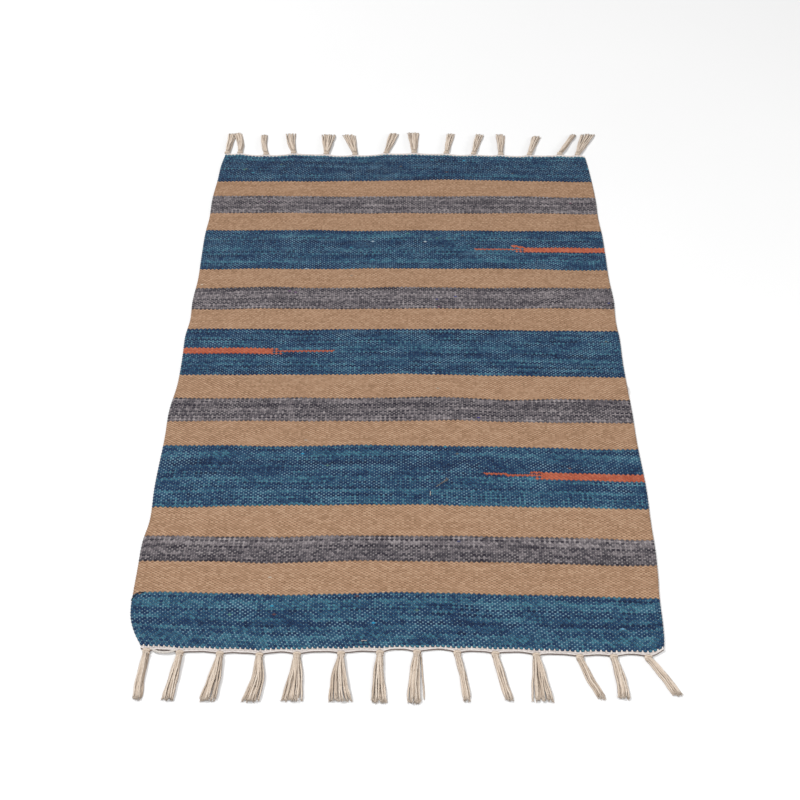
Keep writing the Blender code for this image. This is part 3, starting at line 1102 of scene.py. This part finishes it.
@dataclass
class Field:
    """The woven cloth, a piece for each stripe and each inlay."""

    weave: Weave
    materials: dict[Finish, Material]
    node: str = "woven_field"

    def build(self) -> None:
        """Builds every stripe and then every inlay."""
        for number, stripe in enumerate(STRIPES):
            name = f"stripe_{number + 1:02d}_{stripe.finish.name.lower()}"
            self._piece(name, number, stripe.finish)
        for number, inlay in enumerate(INLAYS, start=len(STRIPES)):
            self._piece(inlay.name, number, inlay.finish)

    def _piece(self, name: str, number: int, finish: Finish) -> None:
        """Builds one piece of the cloth.

        Args:
            name: the piece's name.
            number: its number in the weave.
            finish: its yarn.
        """
        shape = self.weave.slab(number)
        piece = shape.build(name, self.materials[finish])
        shape.lay_map(piece.data, BAKE_MAP, shape.bake_places)
        piece.data.uv_layers.active = piece.data.uv_layers[WEAVE_MAP]
        piece.data.uv_layers[WEAVE_MAP].active_render = True
        declare(piece, finish, self.node)
        LOG.info("%s: %d faces", name, len(piece.data.polygons))


@dataclass
class Yarn:
    """Tubes of yarn, gathered in one shape."""

    shape: Shape = field(default_factory=lambda: Shape(YARN_MAP))
    strands: int = 0

    def tube(
        self,
        path: np.ndarray,
        radius: Any,
        sides: int = 5,
        closed: bool = False,
        across: Any = (0.0, 0.0, 1.0),
        flatness: Any = 1.0,
        lobes: float = 0.0,
        lobe_turn: float = 0.0,
        shown: Pair = ALL_ROUND,
    ) -> None:
        """Adds a tube along a path.

        Args:
            path: the points down its middle.
            radius: its radius, one number or one for each point.
            sides: how many faces go round it.
            closed: whether the path comes back to its start.
            across: the section's up, one direction or one for each point.
            flatness: the section's height as a share of its width, one or one for each point.
            lobes: how far its two plies stand out, as a share of the radius.
            lobe_turn: how far the plies turn for each metre, in turns.
            shown: the part of the yarn's round that its finish is read from, in turns.
        """
        path = np.asarray(path, float)
        count = len(path)
        radius = np.broadcast_to(np.asarray(radius, float), count)
        if closed:
            tangent = np.roll(path, -1, axis=0) - np.roll(path, 1, axis=0)
        else:
            tangent = np.gradient(path, axis=0)
        tangent /= np.linalg.norm(tangent, axis=1, keepdims=True)
        across = np.broadcast_to(np.asarray(across, float), path.shape)
        up = across - tangent * (tangent * across).sum(axis=1, keepdims=True)
        up /= np.linalg.norm(up, axis=1, keepdims=True)
        side = np.cross(tangent, up)
        step = np.linalg.norm(np.diff(path, axis=0), axis=1)
        along = np.concatenate([[0.0], np.cumsum(step)])
        angle = TURN * np.arange(sides) / sides
        swell = 1 + lobes * np.cos(2 * (angle[None, :] - TURN * lobe_turn * along[:, None]))
        reach = radius[:, None] * swell
        height = np.broadcast_to(np.asarray(flatness, float), count)
        ring = (
            path[:, None]
            + side[:, None] * (reach * np.cos(angle))[..., None]
            + up[:, None] * (reach * np.sin(angle) * height[:, None])[..., None]
        )
        first = self.shape.add_points(ring.reshape(-1, 3))
        last = count if closed else count - 1
        i, j = np.meshgrid(np.arange(last), np.arange(sides), indexing="ij")
        i, j = i.ravel(), j.ravel()
        after, turned = (i + 1) % count, (j + 1) % sides
        faces = np.stack(
            [i * sides + j, after * sides + j, after * sides + turned, i * sides + turned], 1
        )
        turned_to = shown[0] + (shown[1] - shown[0]) * np.stack([j, j, j + 1, j + 1], 1) / sides
        if closed:
            along = np.append(along, along[-1] + np.linalg.norm(path[0] - path[-1]))
        down_it = along[np.stack([i, i + 1, i + 1, i], 1)]
        self.shape.add_faces(faces + first, np.stack([self.strands + turned_to, down_it], 2))
        if not closed:
            start, end = np.arange(sides), np.arange(sides)[::-1] + (count - 1) * sides
            for cap, at in ((start, along[0]), (end, along[-1])):
                # The caps read the finish from near the top of the yarn's round, where little
                # painted shade falls.
                turned = self.strands + 0.25 + 0.15 * np.cos(angle)
                place = np.stack([turned, at + 0.0004 * np.sin(angle)], 1)
                self.shape.add_faces((cap + first)[None], place[None])
        self.strands += 1


# How far the band is drawn in between each two knots, from the left.
SLACK = {
    End.NEAR: metres(0.8, 0.4, 0.3, 1.6, 1, 0.4, 2.2, 2.2, 1, 1.2, 0.8, 0.7, 1.7),
    End.FAR: (0.0012,) * 13,
}


@dataclass
class EndBand:
    """The twined cotton band along a woven end, and its teeth between the last floats."""

    weave: Weave
    end: End
    slack: Row
    material: Material
    inset: float = 0.0008
    reach: float = 0.0044
    corner_reach: float = 0.0018
    left_corner: float = 0.014
    right_corner: float = 0.018
    wander: float = 0.00010
    wander_lengths: Row = metres(71, 43, 29, 17)
    overlap: float = 0.0006
    ribbon_tuck: float = 0.0010
    ribbon_height: float = 0.00125
    ribbon_half_height: float = 0.00085
    cord_radius: float = 0.00115
    cord_height: float = 0.00165
    # A thin dark cord under the band's edge, which stands for its shadow.
    shadow_cord_radius: float = 0.00070
    shadow_cord_outset: float = 0.0003
    tooth_tuck: float = 0.0003
    tooth_reach: Pair = (0.0006, 0.0020)
    tooth_height: Pair = (0.0022, 0.0018)
    tooth_radius: tuple[float, float, float] = (0.0006, 0.0012, 0.0015)
    # The part of the round read for a lit top without painted shade, and the part read for
    # painted shade only.
    lit_top_only: Pair = (0.18, 0.32)
    painted_shade_only: Pair = (0.60, 0.90)
    tooth_flatness: float = 0.6
    ribbon_lobes: float = 0.06
    cord_lobes: float = 0.12
    turns_a_metre: float = 165.0
    stations: int = 640
    seed: int = 5

    def edge(self, across: Any) -> np.ndarray:
        """How far along the band's outer edge lies, at a place across."""
        woven = self.weave.outline.woven_end(across, self.end)
        return woven + self.end.value * self._reach(across)

    def _reach(self, across: Any) -> np.ndarray:
        """How far the band stands out from the weave: less between knots and at the corners.

        Args:
            across: the places across.

        Returns:
            The distance at each.
        """
        roots = np.array([tassel.root for tassel in TASSELS[self.end]])
        places = (roots[0] - self.left_corner, roots[0], roots[-1], roots[-1] + self.right_corner)
        reaches = (self.corner_reach, self.reach, self.reach, self.corner_reach)
        gap = np.searchsorted(roots, across).clip(1, len(roots) - 1)
        part = (across - roots[gap - 1]) / (roots[gap] - roots[gap - 1])
        drawn_in = np.array(self.slack)[gap - 1] * np.sin(np.pi * part.clip(0, 1))
        return np.interp(across, places, reaches) - drawn_in

    def build(self) -> None:
        """Builds a ribbon, a cord along it and, at the near end, a dark cord as painted shadow.
        """
        outline, way = self.weave.outline, self.end.value
        along = 0.0 if self.end is End.NEAR else outline.length
        left, right = outline.left(along) + self.inset, outline.right(along) - self.inset
        x = np.linspace(left, right, self.stations)
        chance = np.random.default_rng(self.seed + way)
        wander = sum(
            self.wander * np.sin(TURN * x / length + chance.uniform(0, TURN))
            for length in self.wander_lengths
        )
        woven, reach = outline.woven_end(x, self.end), self._reach(x) + wander
        half, yarn = reach / 2 + self.overlap, Yarn()
        turn, top = self.turns_a_metre, self.lit_top_only

        def line(out: Any, height: float) -> np.ndarray:
            """The points at a distance out from the weave and at a height."""
            return np.stack([x, woven + way * out, np.full_like(x, height)], 1)

        # The ribbon and the teeth read their finish from the top of the yarn's round, so they
        # show no painted shade. At the near end the cord shows its whole round, with painted
        # shade on its lower side; at the far end only its top.
        path = line(half - self.ribbon_tuck, self.ribbon_height)
        flatness = self.ribbon_half_height / half
        lobes = self.ribbon_lobes
        yarn.tube(path, half, 8, flatness=flatness, lobes=lobes, lobe_turn=turn, shown=top)
        path = line(reach - self.overlap, self.cord_height)
        shown = ALL_ROUND if self.end is End.NEAR else top
        yarn.tube(path, self.cord_radius, 8, lobes=self.cord_lobes, lobe_turn=turn, shown=shown)
        if self.end is End.NEAR:
            # A thin cord read only from the painted shade of its round: a dark line that stands
            # for the band's shadow on the floor.
            path = line(reach + self.shadow_cord_outset, self.shadow_cord_radius)
            yarn.tube(path, self.shadow_cord_radius, 5, shown=self.painted_shade_only)
        for joint in self.weave.end_joints(self.end):
            self._tooth(yarn, joint)
        word = self.end.name.lower()
        piece = yarn.shape.build(f"end_band_{word}", self.material)
        LOG.info("%s: %d faces", piece.name, len(piece.data.polygons))
        declare(piece, Finish.COTTON, f"end_cord_{word}")

    def _tooth(self, yarn: Yarn, joint: np.ndarray) -> None:
        """Adds the cotton that shows between two floats of the outermost pick.

        Args:
            yarn: what it is added to.
            joint: the joint that it comes up at.
        """
        way = self.end.value
        woven = float(self.weave.outline.woven_end(joint[0], self.end))
        path = [(joint[0], joint[1] - way * self.tooth_tuck, joint[2] + self.tooth_tuck)]
        for reach, height in zip(self.tooth_reach, self.tooth_height):
            path.append((joint[0], woven + way * reach, height))
        path, flatness = np.array(path), self.tooth_flatness
        yarn.tube(path, self.tooth_radius, flatness=flatness, shown=self.lit_top_only)


@dataclass
class Fringe:
    """The knotted tassels along a woven end, made one after the other."""

    band: EndBand
    material: Material
    layers: tuple[int, ...] = (6, 5, 3)
    neck_span: float = 0.0054
    neck_scatter: float = 0.10
    tip_scatter: float = 0.16
    thickness_range: Pair = (0.93, 1.07)
    strand_start: float = 0.0042
    strand_stations: int = 11
    strand_radii: Row = (0.00085, 0.00105, 0.00105, 0.00085)
    strand_places: Row = (0, 0.25, 0.9, 1)
    flare: float = 0.85
    sway: float = 0.0005
    ripple: float = 0.00022
    trim: float = 0.0013
    upper_trim: float = 0.0008
    pile: float = 1.72
    settling: float = 0.18
    root_lift: float = 0.0006
    fibres: int = 3
    fibre_root: float = 0.0012
    fibre_turn: float = 0.55
    fibre_reach: Pair = (0.0022, 0.0042)
    fibre_taper: tuple[float, float, float] = (0.62, 0.45, 0.12)
    knot_half_widths: Row = metres(3.8, 4.5, 4.3, 4.0, 3.9, 3.7, 3.1)
    knot_length: float = 0.0070
    knot_overlap: float = 0.0008
    knot_height: float = 0.0024
    knot_flatness: float = 0.48
    wraps: int = 2
    wrap_start: float = 0.0012
    wrap_step: float = 0.0024
    wrap_half_width: float = 0.0037
    wrap_narrowing: float = 0.0003
    wrap_slant: float = 0.0010
    wrap_height: float = 0.0025
    wrap_rise: float = 0.0016
    wrap_rest: float = 0.0010
    wrap_radius: float = 0.00095
    wrap_sides: int = 14
    wrap_scatter: float = 0.0001
    seed: int = 40
    way: int = field(init=False)
    tassel: Tassel = field(init=False)
    chance: np.random.Generator = field(init=False)
    yarn: Yarn = field(init=False)
    root_y: float = field(init=False)

    def build(self) -> None:
        """Builds each tassel of this end."""
        self.way, word = self.band.end.value, self.band.end.name.lower()
        for number, tassel in enumerate(TASSELS[self.band.end], start=1):
            self.chance = np.random.default_rng(self.seed * (3 + self.way) + number)
            self.tassel, self.yarn = tassel, Yarn()
            self.root_y = float(self.band.edge(tassel.root))
            self._knot()
            for level, layer in enumerate(self.layers):
                count = layer + tassel.spare_strands
                for place in range(count):
                    self._strand(level, place, count)
            piece = self.yarn.shape.build(f"fringe_{word}_{number:02d}", self.material)
            declare(piece, Finish.COTTON, f"tassel_{word}_{number:02d}")
            LOG.info("%s: %d strands, wraps and fibres", piece.name, self.yarn.strands)

    def _strand(self, level: int, place: int, count: int) -> None:
        """Adds one strand and the fibres at its tip.

        Args:
            level: its layer, from the floor up.
            place: its place in the layer, from the left.
            count: how many strands the layer has.
        """
        tassel, chance = self.tassel, self.chance
        below = self.layers[0] + tassel.spare_strands
        side = (place - (count - 1) / 2) * 2 / (below - 1) + chance.normal(0, self.neck_scatter)
        share = np.linspace(0, 1, self.strand_stations)
        spread = (tassel.tip_right - tassel.tip_left) / 2
        middle = (tassel.tip_left + tassel.tip_right) / 2
        neck = tassel.root + self.neck_span / 2 * side
        tip = middle + spread * np.clip(side + chance.normal(0, self.tip_scatter), -1.1, 1.1)
        x = neck + (tip - neck) * share**self.flare + tassel.bow * np.sin(np.pi * share)
        wave = chance.uniform(0, TURN, 2)
        sway = self.sway * np.sin(TURN * share * 1.3 + wave[0]) * np.sin(np.pi * share)
        x += sway + self.ripple * np.sin(TURN * share * 3.1 + wave[1]) * share
        trim = abs(chance.normal(0, self.trim)) + (self.upper_trim if level else 0.0)
        length = tassel.length - trim - self.strand_start
        y = self.root_y + self.way * (self.strand_start + length * share)
        radius = np.interp(share, self.strand_places, self.strand_radii)
        radius *= chance.uniform(*self.thickness_range)
        rest = radius * (1 + self.pile * level * (1 - self.settling * share))
        path = np.stack([x, y, rest + self.root_lift * (1 - share) ** 4 * (level + 1)], 1)
        self.yarn.tube(path, radius)
        self._fray(path, radius[-1])

    def _fray(self, path: np.ndarray, radius: float) -> None:
        """Adds the loose fibres at a strand's cut tip.

        Args:
            path: the strand's middle.
            radius: its radius at the tip.
        """
        tip, chance = path[-1], self.chance
        ahead = tip - path[-2]
        ahead /= np.linalg.norm(ahead)
        for _ in range(self.fibres):
            aside = np.array([*chance.uniform(-0.4, 0.4, 2), 0]) * radius
            start = tip - ahead * self.fibre_root + aside
            turn = chance.uniform(-self.fibre_turn, self.fibre_turn)
            cosine, sine = math.cos(turn), math.sin(turn)
            heading = np.array([[cosine, -sine, 0], [sine, cosine, 0], [0, 0, 0]]) @ ahead
            reach = chance.uniform(*self.fibre_reach)
            drop = np.array([0, 0, max(tip[2] - radius * 1.3, 0.0) * 0.6])
            knee = start + heading * reach * 0.6 - drop * 0.4
            points = np.array([start, knee, start + heading * reach - drop])
            self.yarn.tube(points, radius * np.array(self.fibre_taper), sides=3)

    def _knot(self) -> None:
        """Adds the knot: a rounded heart with slanting wraps round it."""
        root, way = self.tassel.root, self.way
        share = np.linspace(0, 1, len(self.knot_half_widths))
        y = self.root_y + way * (share * self.knot_length - self.knot_overlap)
        path = np.stack([np.full_like(y, root), y, np.full_like(y, self.knot_height)], 1)
        self.yarn.tube(path, self.knot_half_widths, sides=8, flatness=self.knot_flatness)
        angle = TURN * np.arange(self.wrap_sides) / self.wrap_sides
        outward = np.stack([np.cos(angle), np.zeros(self.wrap_sides), np.sin(angle)], 1)
        for wrap in range(self.wraps):
            at = self.root_y + way * (self.wrap_start + self.wrap_step * wrap)
            wide = self.wrap_half_width - self.wrap_narrowing * wrap
            wide += self.chance.normal(0, self.wrap_scatter)
            slant = self.wrap_slant * np.cos(angle) * (1 if wrap % 2 else -0.5)
            height = self.wrap_height + self.wrap_rise * np.sin(angle)
            height = np.maximum(height, self.wrap_rest)
            ring = np.stack([root + wide * np.cos(angle), at + way * slant, height], 1)
            self.yarn.tube(ring, self.wrap_radius, closed=True, across=outward)


@dataclass(frozen=True)
class Thread:
    """A loose thread: its yarn, its finish, its radius, and its points in millimetres."""

    name: str
    yarn: YarnFinish
    finish: Finish
    radius: float
    points: tuple[Place, ...]


THREAD_STATIONS = 17
THREAD_TAPER = ((0, 0.1, 0.9, 1), (0.6, 1, 1, 0.5))

THREADS = (
    Thread(
        "loose_loop", LOOSE_YARN, Finish.COTTON, 0.00135,
        ((-266.8, -2.5, 2.4), (-260.9, -6.2, 2), (-255.3, -7.6, 1.8), (-249.8, -7.8, 1.8),
         (-244.5, -7, 1.9), (-238.4, -4.8, 2.4)),
    ),
    Thread(
        "loose_strand", FRINGE_YARN, Finish.COTTON, 0.00085,
        ((26.2, -5, 1), (27.5, -18, 0.9), (28.4, -33, 0.9), (29.6, -47, 0.9), (30, -60, 0.9)),
    ),
    Thread(
        "stray_end_brown", BROWN_YARN, Finish.TAN, 0.00050,
        ((45.3, 217.2, 3.2), (50.8, 221.6, 4), (55.8, 225, 4.3), (59.6, 227.8, 4.1),
         (60.1, 231.2, 3.4)),
    ),
    Thread(
        "stray_fork_brown", BROWN_YARN, Finish.TAN, 0.00042,
        ((52.5, 222.6, 3.4), (55.6, 225.8, 4.2), (57.8, 228.5, 4.2), (58.3, 232.2, 3.4)),
    ),
    Thread(
        "stray_end_pale", BAND_YARN, Finish.COTTON, 0.00045,
        ((38.3, 210.8, 3.2), (38.5, 207.2, 4.1), (38.2, 203.9, 3.3)),
    ),
    Thread(
        "stray_at_selvage", BAND_YARN, Finish.COTTON, 0.00040,
        ((299, 388, 2.6), (300, 381, 3.1), (299, 373.5, 2.6)),
    ),
    Thread(
        "stray_fleck", BAND_YARN, Finish.COTTON, 0.00040,
        ((-38.4, 6.7, 3.1), (-35.1, 7.3, 3.7), (-31.9, 7, 3.1)),
    ),
    Thread(
        "turned_weft", NAVY_YARN, Finish.BLUE, 0.00080,
        ((-298.2, 56, 1.8), (-297.2, 59.5, 2.2), (-294.6, 63.3, 2.6), (-290.6, 66.2, 2.9),
         (-284.4, 66.9, 2.7)),
    ),
)


@dataclass
class LooseThreads:
    """The few threads that have worked loose."""

    yarns: dict[YarnFinish, Material]

    def build(self) -> None:
        """Builds each loose thread as a small tube on a smooth line."""
        for thread in THREADS:
            yarn = Yarn()
            points = np.array(thread.points) / 1000
            knots = np.linspace(0, 1, len(points))
            share = np.linspace(0, 1, THREAD_STATIONS)
            path = np.stack([eased(knots, points[:, axis], share) for axis in range(3)], 1)
            radius = thread.radius * np.interp(share, *THREAD_TAPER)
            yarn.tube(path, radius, sides=6)
            declare(yarn.shape.build(thread.name, self.yarns[thread.yarn]), thread.finish)
            LOG.info("%s", thread.name)


@dataclass(frozen=True)
class Lamp:
    """A soft lamp that points at the kilim: where it stands, how wide and how strong it is."""

    name: str
    place: Place
    size: float
    power: float


@dataclass
class Studio:
    """The plain floor, the soft lamps and the camera."""

    lens: float = 48.2
    sensor: float = 36.0
    pitch: float = math.radians(48.05)
    yaw: float = math.radians(-1.1988)
    roll: float = math.radians(-0.6927)
    eye: Place = (0.01937, -0.57625, 1.04427)
    floor_size: float = 12.0
    lamps: tuple[Lamp, ...] = (
        Lamp("lamp_behind_left", (-3.2, 2.6, 4.4), 1.0, 290.0),
        Lamp("lamp_right", (3.6, -0.2, 1.5), 0.8, 35.0),
        Lamp("lamp_front", (0.2, -2.0, 2.4), 2.4, 68.0),
    )
    ambient: float = 0.20

    def build(self) -> None:
        """Builds the floor, the lamps, the plain surroundings and the camera."""
        self._floor()
        for lamp in self.lamps:
            self._lamp(lamp)
        self._surroundings()
        self._camera()

    def _floor(self) -> None:
        """Lays the floor."""
        bpy.ops.mesh.primitive_grid_add(x_subdivisions=8, y_subdivisions=8, size=self.floor_size)
        floor = bpy.context.object
        floor.name = "floor"
        floor.data.materials.append(FloorFinish().material())
        floor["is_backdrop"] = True

    def _lamp(self, lamp: Lamp) -> None:
        """Adds a lamp.

        Args:
            lamp: its measures.
        """
        bpy.ops.object.light_add(type="AREA", location=lamp.place)
        light = bpy.context.object
        light.name = lamp.name
        light.rotation_euler = Vector(lamp.place).to_track_quat("Z", "Y").to_euler()
        light.data.size = lamp.size
        light.data.energy = lamp.power

    def _surroundings(self) -> None:
        """Sets an even white light all round."""
        world = bpy.data.worlds.new("studio")
        world.use_nodes = True
        shade = world.node_tree.nodes["Background"]
        shade.inputs["Color"].default_value = (1.0, 1.0, 1.0, 1.0)
        shade.inputs["Strength"].default_value = self.ambient
        bpy.context.scene.world = world
        bpy.context.scene.view_settings.view_transform = "Standard"

    def _camera(self) -> None:
        """Sets the camera where the photograph was taken from."""
        bpy.ops.object.camera_add(location=Vector(self.eye) + Vector(ORIGIN))
        camera = bpy.context.object
        level = Vector((math.cos(self.yaw), -math.sin(self.yaw), 0.0))
        ahead = Vector((math.sin(self.yaw), math.cos(self.yaw), 0.0)) * math.cos(self.pitch)
        ahead.z = -math.sin(self.pitch)
        raised = level.cross(ahead)
        right = math.cos(self.roll) * level + math.sin(self.roll) * raised
        up = -math.sin(self.roll) * level + math.cos(self.roll) * raised
        camera.rotation_euler = Matrix((right, up, -ahead)).transposed().to_euler()
        camera.data.lens = self.lens
        camera.data.sensor_width = self.sensor
        bpy.context.scene.camera = camera


def bounds() -> list[list[float]]:
    """The whole object's box, as plain lists."""
    return [[float(x) for x in corner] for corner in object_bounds()]


def main() -> None:
    """Builds the kilim and its studio, piece by piece."""
    logging.basicConfig(level=logging.INFO, format="%(message)s")
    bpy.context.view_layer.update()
    bpy.ops.object.select_all(action="DESELECT")
    wefts = {
        weft.finish: weft.material() for weft in (BLUE_WEFT, TAN_WEFT, GREY_WEFT, RUST_WEFT)
    }
    yarns = {
        yarn: yarn.material()
        for yarn in (FRINGE_YARN, BAND_YARN, LOOSE_YARN, BROWN_YARN, NAVY_YARN)
    }
    Studio().build()
    weave = Weave()
    Field(weave, wefts).build()
    for end in End:
        band = EndBand(weave, end, SLACK[end], yarns[BAND_YARN])
        band.build()
        Fringe(band, yarns[FRINGE_YARN]).build()
    LooseThreads(yarns).build()


if __name__ == "__main__":
    main()
